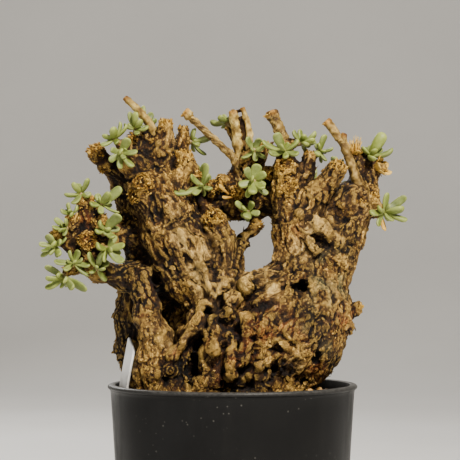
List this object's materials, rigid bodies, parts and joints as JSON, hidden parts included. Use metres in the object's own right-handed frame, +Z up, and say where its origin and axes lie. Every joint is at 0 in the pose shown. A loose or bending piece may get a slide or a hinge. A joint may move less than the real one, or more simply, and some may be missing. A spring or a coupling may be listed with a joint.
{
  "type": "potted caudex plant",
  "caption": "Low succulent with a swollen, knobbly woody caudex, open arms and small fleshy leafy shoots, standing in gritty soil in a plain round black plastic pot with a white plant label.",
  "frame": {"origin": "centre of the pot's flat base, on the surface it stands on", "axes": "+Z up, +X to the right as pictured, +Y away from the camera"},
  "size_m": [0.1322, 0.09, 0.1833],
  "materials": {
    "pot": "satin black",
    "soil": "loose gritty potting mix, matte",
    "bark": "flaky corky bark, matte",
    "leaf": "fleshy green leaf with a waxy bloom, soft satin",
    "label": "satin white"
  },
  "bodies": {
    "root": {"caudex": "bark", "label": "label", "leaves_back_bridge": "leaf", "leaves_back_cluster": "leaf", "leaves_back_left_high": "leaf", "leaves_back_left_low": "leaf", "leaves_back_left_mid": "leaf", "leaves_back_left_top": "leaf", "leaves_back_right_high": "leaf", "leaves_back_right_low": "leaf", "leaves_back_right_mid": "leaf", "leaves_back_right_top": "leaf", "leaves_crown_behind": "leaf", "leaves_crown_left": "leaf", "leaves_crown_left_low": "leaf", "leaves_crown_top": "leaf", "leaves_fork_left": "leaf", "leaves_fork_low": "leaf", "leaves_heart_lower": "leaf", "leaves_heart_upper": "leaf", "leaves_left_front": "leaf", "leaves_left_hanging": "leaf", "leaves_left_inner": "leaf", "leaves_left_low": "leaf", "leaves_left_lowest": "leaf", "leaves_left_outer": "leaf", "leaves_left_ring": "leaf", "leaves_left_tip": "leaf", "leaves_left_top": "leaf", "leaves_left_upper": "leaf", "leaves_middle_high": "leaf", "leaves_middle_large": "leaf", "leaves_middle_right": "leaf", "leaves_middle_shoot": "leaf", "leaves_right_high": "leaf", "leaves_right_pair": "leaf", "leaves_right_side": "leaf", "leaves_right_small": "leaf", "pot": "pot", "soil": "soil"}
  },
  "joints": []
}
